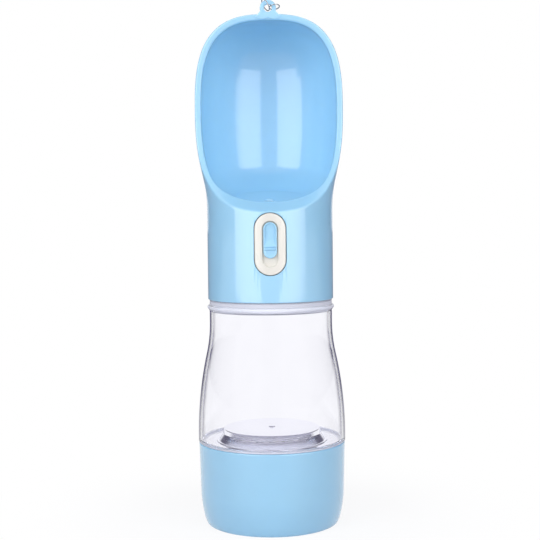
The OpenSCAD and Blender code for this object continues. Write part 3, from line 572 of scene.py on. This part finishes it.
rows = [stadium_row(key_w, key_h, key_z, y=flange_y1)]
rows += over_edge(key_w, key_h, 1)[::-1]
rows += [stadium_row(w, h, key_z, radius=key_r) for w, h in
         [(key_w - 2 * edge - (key_w - slot_w - 4 * edge) * u,
           key_h - 2 * edge - (key_h - slot_h - 4 * edge) * u) for u in (0.25, 0.5, 0.75)]]
rows += over_edge(slot_w, slot_h, -1)
rows += [stadium_row(slot_w, slot_h, key_z, y=slot_y - 0.25),
         stadium_row(slot_w - 0.5, slot_h - 0.5, key_z, y=slot_y)]
key = build("press_key_moulding", [capped(rows, key_z)], "key")


def block(name, x, y, z, body, bevel=0.25):
    """A block with rounded edges between two corners in millimetres."""
    corners = [[x[i], y[j], z[k]] for k in (0, 1) for i, j in ((0, 0), (1, 0), (1, 1), (0, 1))]
    piece = prism(name, corners[:4], corners[4:], body)
    if bevel:
        step = piece.modifiers.new("rounded edges", "BEVEL")
        step.width, step.segments = bevel * mm, 3
    return piece


def prism(name, bottom, top, body):
    """A solid between two flat outlines with the same number of corners."""
    count = len(bottom)
    sides = [[i, (i + 1) % count, count + (i + 1) % count, count + i] for i in range(count)]
    ends = [list(range(count))[::-1], list(range(count, 2 * count))]
    return piece_of(name, [*bottom, *top], ends + sides, body)


cut(key, block("flange", (-9.4, 9.4), (flange_y0, flange_y1 - 0.02),
               (frame_z - 14, frame_z + 11.6), "key"), "UNION")
bar_low, bar_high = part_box("stem_cap")
arm_y1, ramp = bar_low.y / mm + 0.5, 3.0
line = bar_high.z / mm - ramp - bar_low.y / mm + 0.3 * math.sqrt(2)
arm_top = bar_high.z / mm - ramp + 5
for side in (-1, 1):
    profile = [(flange_y1 - 0.5, arm_y1 - ramp + line), (arm_y1 - ramp, arm_y1 - ramp + line),
               (arm_y1, arm_y1 + line), (arm_y1, arm_top), (flange_y1 - 0.5, arm_top)]
    arm = prism("arm", [(side * 5.2, y, z) for y, z in profile],
                [(side * 7.6, y, z) for y, z in profile], "key")
    cut(key, arm, "UNION")
pocket = block("pocket", (-5, 5), (slot_y + 1.2, flange_y1 + 1),
               (frame_z - 11.5, frame_z + 11.5), "key", 0.6)
cut(key, pocket)
knob_top = key_z + slot_h / 2 - 0.5
knob_low_z = knob_top - 17.3
neck_low, neck_high = knob_low_z + 4.6, knob_top - 3.3
neck_mid = (neck_low + neck_high - 4) / 2
rows = [stadium_row(3.1, neck_high - neck_low + 4.6, neck_mid, y=y)
        for y in (slot_y - 1, slot_y + 2.4)]
cut(key, build("slot_tool", [capped(rows, neck_mid)], "key"))
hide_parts("press_key")
smooth_by_angle(key, 40)
print("key faces:", len(key.data.polygons))

# %% Lock slider
knob_w, knob_h, knob_y = 6.5, 17.3, slot_y - 0.1
grips = [knob_low_z + 4.2, knob_low_z + 5.6]
grip_half, grip_height = 0.38, 0.75
thumb_r, knob_edge = 20.0, 0.3


def knob_rows():
    """The knob's face as a height field over its outline, from bottom to top."""
    half = knob_w / 2
    ends = half * (1 - np.cos(np.linspace(0, np.pi / 2, 24)))
    middle = np.linspace(half, knob_h - half, 190)[1:-1]
    z = np.concatenate([ends, middle, knob_h - ends[::-1]])
    over = np.maximum(0, np.maximum(half - z, z - (knob_h - half)))
    wide = np.sqrt(np.maximum(0, half ** 2 - over ** 2))
    x = wide[:, None] * np.sin(np.linspace(-np.pi / 2, np.pi / 2, 49))
    z = np.broadcast_to((z + knob_low_z)[:, None], x.shape)
    reach = np.hypot(x, np.maximum(0, np.maximum(knob_low_z + half - z, z - knob_top + half)))
    inward = half - reach
    dish = np.clip((inward - 0.55) / 0.35, 0, 1)
    dish = dish * dish * (3 - 2 * dish)
    sunk = np.sqrt(np.maximum(0, thumb_r ** 2 - (z - knob_top + 6.0) ** 2)) - thumb_r + 0.75
    front = -np.sqrt((key_r - 0.1) ** 2 - x ** 2) + dish * (0.3 + np.maximum(0, sunk))
    for grip in grips:
        off = np.abs(z - grip) / grip_half
        front = front - grip_height * np.sqrt(np.maximum(0, 1 - off ** 2)) * dish
    near = np.clip(1 - inward / knob_edge, 0, 1)
    front = front + knob_edge * (1 - np.sqrt(1 - near ** 2))
    return np.stack([x, front, z], axis=2)


face = knob_rows()
back = face.copy()
back[..., 1] = knob_y
sides = [np.stack([face[:, i], back[:, i]]) for i in (0, -1)]
knob = build("lock_knob", [face, back, *sides], "lock", closed=False)
rows = [stadium_row(2.6, neck_high - neck_low, (neck_low + neck_high) / 2, y=y)
        for y in (knob_y - 0.5, slot_y + 2.5)]
cut(knob, build("knob_neck", [capped(rows, (neck_low + neck_high) / 2)], "lock"), "UNION")
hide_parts("lock_slider")
smooth_by_angle(knob, 40)
print("knob faces:", len(knob.data.polygons))

# %% [markdown]
# ## The lug
# A small tab on top of the scoop carries two wire rings for a wrist cord. Its sides lean
# in from a wide foot, in a hollow curve, to a round top about the hole.

# %% Lug
lug_z, lug_hole, lug_round = top_z + 2.7, 1.9, 4.0
lug_front = float(rim_y(top_z)) + 0.1
lug_back = lug_front + 2.2
side_points = [[lug_round * math.cos(a), lug_round * math.sin(a)]
               for a in np.linspace(math.pi / 2, -0.30, 20)]
bend0, bend1, bend2 = np.array(side_points[-1]), np.array([4.15, -2.2]), np.array([6.6, -4.2])
side_points += [((1 - u) ** 2 * bend0 + 2 * u * (1 - u) * bend1 + u * u * bend2).tolist()
                for u in np.linspace(0, 1, 10)[1:]] + [[0, -4.6]]
side_points = np.array(side_points)
side_angle = np.arctan2(side_points[:, 1], side_points[:, 0])
side_reach = np.hypot(*side_points.T)
turn = np.linspace(-np.pi / 2, 1.5 * np.pi, 120, endpoint=False)
mirror_turn = np.where(turn > np.pi / 2, np.pi - turn, turn)
reach = np.interp(mirror_turn, side_angle[::-1], side_reach[::-1])


def lug_row(y, inset, hole):
    r = np.full_like(turn, lug_hole + inset) if hole else reach - inset
    return np.stack([r * np.cos(turn), np.full_like(turn, y), lug_z + r * np.sin(turn)], axis=1)


soft = 0.45
over = [(soft * (1 - math.sin(a)), soft * (1 - math.cos(a))) for a in np.linspace(0, math.pi / 2, 5)]
rows = [lug_row(lug_front + d, i, False) for i, d in over[::-1]]
rows += [lug_row(lug_front + d, i, True) for i, d in over]
rows += [lug_row(lug_back - d, i, True) for i, d in over[::-1]]
rows += [lug_row(lug_back - d, i, False) for i, d in over]
lug = build("lug", [np.stack(rows + rows[:1])], "head")
cut(head, lug, "UNION")
smooth_by_angle(head, 50)
print("lug top at", round(lug_z + lug_round, 1), "mm; head faces:", len(head.data.polygons))

# %% [markdown]
# ## Finishes
# Every plastic here is moulded in a polished steel tool, so its face is glossy but never
# perfect: it has a very fine grain, it waves a little where the wall shrank, and its gloss
# varies where it has been handled. Those three are noise textures at their real sizes.
# Colours are written as they look on a screen and turned into linear light by one function.

# %% Nodes and colours
def linear(colour):
    """A colour written as #rrggbb, as linear red, green, blue and alpha."""
    parts = [int(colour[i:i + 2], 16) / 255 for i in (1, 3, 5)]
    return [c / 12.92 if c <= 0.04045 else ((c + 0.055) / 1.055) ** 2.4 for c in parts] + [1.0]


def node(tree, kind, settings=None, **inputs):
    """Adds a node. An input is a constant, or a socket that is linked to it."""
    made = tree.nodes.new(kind)
    for name, value in (settings or {}).items():
        setattr(made, name, value)
    for name, value in inputs.items():
        name = name.replace("_", " ")
        socket = made.inputs[int(name[3:]) if name.startswith("in ") else name]
        if isinstance(value, bpy.types.NodeSocket):
            tree.links.new(value, socket)
        else:
            socket.default_value = value
    return made


def ramp(tree, value, start, end, low=0.0, high=1.0, smooth=False):
    """A value that runs from low at start to high at end."""
    how = {"interpolation_type": "SMOOTHSTEP"} if smooth else None
    return node(tree, "ShaderNodeMapRange", how, in_0=value, in_1=start, in_2=end,
                in_3=low, in_4=high).outputs[0]


def maths(tree, operation, first, second=0.0):
    return node(tree, "ShaderNodeMath", {"operation": operation}, in_0=first,
                in_1=second).outputs[0]


def colours(tree, share, first, second):
    """The first colour at share 0, the second at share 1."""
    return node(tree, "ShaderNodeMix", {"data_type": "RGBA"}, in_0=share, in_6=first,
                in_7=second).outputs[2]


def shaders(tree, share, first, second):
    """The first shader at share 0, the second at share 1."""
    return node(tree, "ShaderNodeMixShader", in_0=share, in_1=first, in_2=second).outputs[0]


def empty_tree(owner):
    """Turns nodes on for a material or world, and clears them."""
    owner.use_nodes = True
    owner.node_tree.nodes.clear()
    return owner.node_tree


def noise(tree, place, size, detail=2.0):
    """Noise whose blotches are about that many millimetres wide."""
    return node(tree, "ShaderNodeTexNoise", Vector=place, Scale=1 / (size * mm),
                Detail=detail).outputs["Fac"]


def spread(tree, value, low, high):
    """Noise, which keeps near 0.5, stretched to run from low to high."""
    return ramp(tree, value, 0.3, 0.7, low, high)


def finish(name, colour, gloss, tint=0.02, grain=(0.35, 0.0006), wave=(14, 0.012), **surface):
    """A moulded finish. gloss is the lowest and highest roughness; grain and wave are the
    size and depth in millimetres of the fine texture and of the slow unevenness."""
    material = bpy.data.materials.new(name)
    tree = empty_tree(material)
    place = node(tree, "ShaderNodeTexCoord").outputs["Object"]
    light, dark = linear(colour), [c * (1 - tint) for c in linear(colour)[:3]] + [1.0]
    shade = colours(tree, spread(tree, noise(tree, place, 11), 0, 1), dark, light)
    slow = node(tree, "ShaderNodeBump", Height=noise(tree, place, wave[0]),
                Distance=wave[1] * mm, Strength=1.0).outputs[0]
    fine = node(tree, "ShaderNodeBump", Height=noise(tree, place, grain[0], 3),
                Distance=grain[1] * mm, Strength=1.0, Normal=slow).outputs[0]
    skin = node(tree, "ShaderNodeBsdfPrincipled", Base_Color=shade, Normal=fine,
                Roughness=spread(tree, noise(tree, place, 6, 4), *gloss), **surface)
    node(tree, "ShaderNodeOutputMaterial", Surface=skin.outputs[0])
    return material


def thicken_with_painted_shade(material):
    """Three things that thin clear walls don't do in a render by themselves.
    The side takes painted shade: a dark tint where it is seen edge on, which stands in for the dark
    room seen through the thick wall. The bead and the foot's edge are partly milky, and the bead
    less so in its grooves, which paints shade into them. The floor and the socket, seen at a low
    angle, get a plain gloss that keeps them as pale as the room."""
    tree = material.node_tree
    skin = tree.nodes["Principled BSDF"]
    edge_on = node(tree, "ShaderNodeLayerWeight", Blend=0.5).outputs["Facing"]
    place = tree.nodes["Texture Coordinate"].outputs["Object"]
    height = node(tree, "ShaderNodeSeparateXYZ", Vector=place).outputs["Z"]
    flat = node(tree, "ShaderNodeVectorMath", {"operation": "MULTIPLY"}, in_0=place,
                in_1=(1, 1, 0)).outputs[0]
    out = node(tree, "ShaderNodeVectorMath", {"operation": "LENGTH"},
               in_0=flat).outputs["Value"]

    # Painted shade: the wall seen edge on is tinted near black, standing in for the dark room seen
    # through the thick plastic.
    side = ramp(tree, out, 28.5 * mm, 29.5 * mm)
    dark = ramp(tree, edge_on, 0.66, 0.84, 0.0, side, smooth=True)
    shade = skin.inputs["Base Color"].links[0].from_socket
    tree.links.new(colours(tree, dark, shade, linear("#1b1940")), skin.inputs["Base Color"])

    milky = ramp(tree, height, (bead_z - 0.2) * mm, (bead_z + 0.4) * mm, 0.0, 0.72)
    # Painted shade: the milk is thinned in the two grooves so that they read darker, as shade in a
    # crease would.
    for shaded_groove_z in (step_z, shoulder_z - 0.3):
        off = maths(tree, "ABSOLUTE", maths(tree, "SUBTRACT", height, shaded_groove_z * mm))
        milky = maths(tree, "MULTIPLY", milky, ramp(tree, off, 0.1 * mm, 0.5 * mm, 0.35, 1.0))
    base = ramp(tree, height, (bottle_z + 0.5) * mm, (bottle_z + 1.6) * mm, 0.6, 0.0)
    milky = maths(tree, "MAXIMUM", milky, base)

    inside = ramp(tree, out, 33 * mm, 34.5 * mm, 0.96, 0.0)
    under = ramp(tree, height, (roof + 3) * mm, (roof + 4) * mm, inside, 0.0)
    low = ramp(tree, edge_on, 0.36, 0.55, 0.0, under, smooth=True)

    milk = node(tree, "ShaderNodeBsdfDiffuse", Color=linear("#eceef9"))
    mirror = node(tree, "ShaderNodeBsdfGlossy", Color=linear("#fdfdff"), Roughness=0.05)
    both = shaders(tree, milky, skin.outputs[0], milk.outputs[0])
    both = shaders(tree, low, both, mirror.outputs[0])
    tree.links.new(both, tree.nodes["Material Output"].inputs[0])


def let_light_in(material):
    """Clear plastic casts almost no shadow: light on its way to what is inside passes, and
    light that has been through many walls goes straight on instead of getting lost."""
    tree = material.node_tree
    out = tree.nodes["Material Output"]
    skin = out.inputs[0].links[0].from_socket
    ray = node(tree, "ShaderNodeLightPath")
    passing = maths(tree, "MAXIMUM", ray.outputs["Is Shadow Ray"], ray.outputs["Is Diffuse Ray"])
    lost = maths(tree, "GREATER_THAN", ray.outputs["Ray Depth"], 6.5)
    open_way = node(tree, "ShaderNodeBsdfTransparent", Color=linear("#fbfbfd"))
    both = shaders(tree, maths(tree, "MAXIMUM", passing, lost), skin, open_way.outputs[0])
    tree.links.new(both, out.inputs[0])


def coat(material, *names):
    """Gives pieces or CAD nodes, by name, this finish."""
    for name in names:
        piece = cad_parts.get(name) or bpy.data.objects[name]
        piece.data.materials.clear()
        piece.data.materials.append(material)


print("a mid blue in linear light:", [round(c, 3) for c in linear("#a9d6f8")])

# %% Plastics, rubber and metal
blue_abs = finish("moulded blue ABS, tool polished", "#9bcfee", (0.05, 0.09), IOR=1.53,
                  Coat_Weight=0.6, Coat_Roughness=0.45, Coat_IOR=1.5,
                  Subsurface_Weight=0.08, Subsurface_Radius=(0.5, 0.8, 1.2),
                  Subsurface_Scale=1.5 * mm)
white_abs = finish("moulded white ABS, satin", "#dfdcd4", (0.26, 0.34), IOR=1.53,
                   Subsurface_Weight=0.1, Subsurface_Radius=(1.0, 0.9, 0.8),
                   Subsurface_Scale=1.5 * mm)
clear_copolyester = finish("clear copolyester, blown and polished", "#fcfcff", (0.015, 0.04),
                           tint=0.01, grain=(0.5, 0.0), wave=(22, 0.05), IOR=1.54,
                           Specular_Tint=(0.08, 0.08, 0.08, 1), Transmission_Weight=1.0)
thicken_with_painted_shade(clear_copolyester)
let_light_in(clear_copolyester)
milky_pp = finish("milky polypropylene, moulded satin", "#dfe0e6", (0.34, 0.46), IOR=1.49,
                  Subsurface_Weight=0.3, Subsurface_Radius=(1.0, 1.0, 1.1),
                  Subsurface_Scale=2 * mm)
# The lid's finish is milky polypropylene made greyer with painted shade, which stands in for the
# shade on its boss inside the bottle's socket.
shaded_milky_pp = finish("milky polypropylene with painted shade, moulded satin", "#c9c8ce", (0.34, 0.46), IOR=1.49,
                 Subsurface_Weight=0.2, Subsurface_Radius=(1.0, 1.0, 1.1),
                 Subsurface_Scale=2 * mm)
silicone = finish("moulded silicone rubber, matt", "#d9dade", (0.5, 0.62), grain=(0.25, 0.004),
                  IOR=1.41, Subsurface_Weight=0.2, Subsurface_Radius=(1.0, 1.0, 1.0),
                  Subsurface_Scale=1.5 * mm)
nitrile = finish("black nitrile rubber, moulded", "#232427", (0.45, 0.6), tint=0.2,
                 grain=(0.2, 0.004), IOR=1.52)
steel_wire = finish("spring steel wire, drawn", "#8d9096", (0.24, 0.4), tint=0.15,
                    grain=(0.12, 0.003), wave=(3, 0.004), Metallic=1.0)
nickel = finish("nickel plated steel wire, bright", "#a7a8ac", (0.12, 0.24), tint=0.12,
                grain=(0.2, 0.002), wave=(2, 0.004), Metallic=1.0)

coat(blue_abs, "head_with_scoop", "cup_moulding", "lock_knob")
coat(white_abs, "press_key_moulding", "valve_core", "spout_cap")
coat(clear_copolyester, "clear_bottle")
# The lid takes the finish with painted shade.
coat(shaded_milky_pp, "cup_lid")
coat(milky_pp, "key_guide", "slider_clip", "valve_stem", "stem_cap")
coat(silicone, "cup_seal", "lid_gasket", "mouth_seal", "cap_gasket", "spout_sleeve", "valve_seal")
coat(nitrile, "stem_o_ring")
coat(steel_wire, "key_springs", "valve_spring", "cap_screws", "guide_screws")
coat(nickel, "wire_ring", "link_ring")
print("materials:", [m.name for m in bpy.data.materials])

# %% [markdown]
# ## Floor, backdrop and light
# The floor and the world are plain white for the camera. For every other ray the room is
# white in front and behind and dark towards both sides, since a clear or glossy piece
# would vanish against white all round. Those sides give the bottle thin grey edges when
# it is seen from the front. Seen from the side, the flat roof of the bottle's socket
# takes their tone and turns dark. Light that reaches a matt surface comes mostly from
# above. The floor keeps the soft shadow under the cup and fades to white away from it.

# %% World
world = bpy.data.worlds.new("white room")
scene.world = world
tree = empty_tree(world)
direction = node(tree, "ShaderNodeTexCoord").outputs["Generated"]
axes = node(tree, "ShaderNodeSeparateXYZ", Vector=direction)
sideways = maths(tree, "ABSOLUTE", axes.outputs["X"])
sideways = ramp(tree, sideways, 0.34, 0.60, smooth=True)
room = colours(tree, sideways, linear("#fdfdff"), linear("#5c5a6c"))
ray = node(tree, "ShaderNodeLightPath")
seen = colours(tree, ray.outputs["Is Camera Ray"], room, [1, 1, 1, 1])
from_above = ramp(tree, axes.outputs["Z"], -0.2, 1.0, 0.55, 0.95)
level = node(tree, "ShaderNodeMix", in_0=ray.outputs["Is Diffuse Ray"], in_2=1.0,
             in_3=from_above).outputs[0]
air = node(tree, "ShaderNodeBackground", Color=seen, Strength=level)
node(tree, "ShaderNodeOutputWorld", Surface=air.outputs[0])
scene.view_settings.view_transform = "Standard"
print("view transform:", scene.view_settings.view_transform)

# %% Floor
def stage_plane(name, corners):
    """A flat face that belongs to the stage."""
    mesh = bpy.data.meshes.new(name)
    mesh.from_pydata(corners, [], [(0, 1, 2, 3)])
    plane = bpy.data.objects.new(name, mesh)
    scene.collection.objects.link(plane)
    return plane


floor_half = 6.0
floor = stage_plane("floor", [(-floor_half, -floor_half, 0), (floor_half, -floor_half, 0),
                              (floor_half, floor_half, 0), (-floor_half, floor_half, 0)])
paper = bpy.data.materials.new("white paper sweep, matt")
tree = empty_tree(paper)
place = node(tree, "ShaderNodeTexCoord").outputs["Object"]
far = node(tree, "ShaderNodeVectorMath", {"operation": "LENGTH"}, in_0=place).outputs["Value"]
fade = ramp(tree, far, 0.05, 0.16, smooth=True)
fibre = node(tree, "ShaderNodeBump", Height=noise(tree, place, 0.4, 4), Distance=0.02 * mm)
matt = node(tree, "ShaderNodeBsdfDiffuse", Color=linear("#c4c4ca"), Normal=fibre.outputs[0])
ray = node(tree, "ShaderNodeLightPath")
mirrored = maths(tree, "GREATER_THAN", ray.outputs["Is Glossy Ray"],
                 ray.outputs["Is Transmission Ray"])
behind = node(tree, "ShaderNodeSeparateXYZ", Vector=place).outputs["Y"]
behind = maths(tree, "MULTIPLY", ramp(tree, behind, 0.15, 0.6), mirrored)
glow = node(tree, "ShaderNodeEmission", Strength=ramp(tree, fade, 0.0, 1.0, 1.1, 1.0),
            Color=colours(tree, behind, [1, 1, 1, 1], linear("#7c7a8a")))
direct = maths(tree, "MAXIMUM", ray.outputs["Is Camera Ray"], ray.outputs["Is Transmission Ray"])
direct = maths(tree, "MAXIMUM", direct, ray.outputs["Is Glossy Ray"])
share = maths(tree, "MULTIPLY", ramp(tree, fade, 0.0, 1.0, 0.8, 1.0), direct)
node(tree, "ShaderNodeOutputMaterial",
     Surface=shaders(tree, share, matt.outputs[0], glow.outputs[0]))
floor.data.materials.append(paper)
print("floor half width in m:", floor_half)

# %% [markdown]
# Two tall softboxes stand left and right in front, and the left one is the stronger. Each
# is made of two planes. The outer one lights everything. The inner one shows in glossy
# reflections alone, and gives the long bands in the scoop and down the head, on both
# sides of the key.

# %% Softboxes
SOFTBOX_ANGLE = 35.0


def softbox(name, azimuth, distance, width, low, high, strength, only_glossy=False):
    """An upright light panel that faces the bottle, seen from nowhere but the object."""
    half = width / 2
    panel = stage_plane(name, [(-half, 0, low), (half, 0, low), (half, 0, high), (-half, 0, high)])
    angle = math.radians(azimuth)
    panel.location = (distance * math.sin(angle), -distance * math.cos(angle), 0)
    panel.rotation_euler = (0, 0, angle)
    cloth = bpy.data.materials.new(name + " diffuser cloth")
    inner = empty_tree(cloth)
    light = node(inner, "ShaderNodeEmission", Color=[1, 1, 1, 1], Strength=strength)
    node(inner, "ShaderNodeOutputMaterial", Surface=light.outputs[0])
    panel.data.materials.append(cloth)
    panel.visible_camera = False
    panel.visible_transmission = False
    panel.visible_shadow = False
    if only_glossy:
        panel.visible_diffuse = False


for side, way, power in (("left", -1, 1.08), ("right", 1, 0.88)):
    softbox(side + " softbox", way * SOFTBOX_ANGLE * 1.3, 0.70, 0.50, 0.06, 0.80, 3.1 * power)
    softbox(side + " softbox face", way * SOFTBOX_ANGLE, 0.52, 0.375, 0.0, 0.575, 3.7,
            only_glossy=True)
print("softbox faces at", SOFTBOX_ANGLE, "degrees, lamps at", SOFTBOX_ANGLE * 1.3)
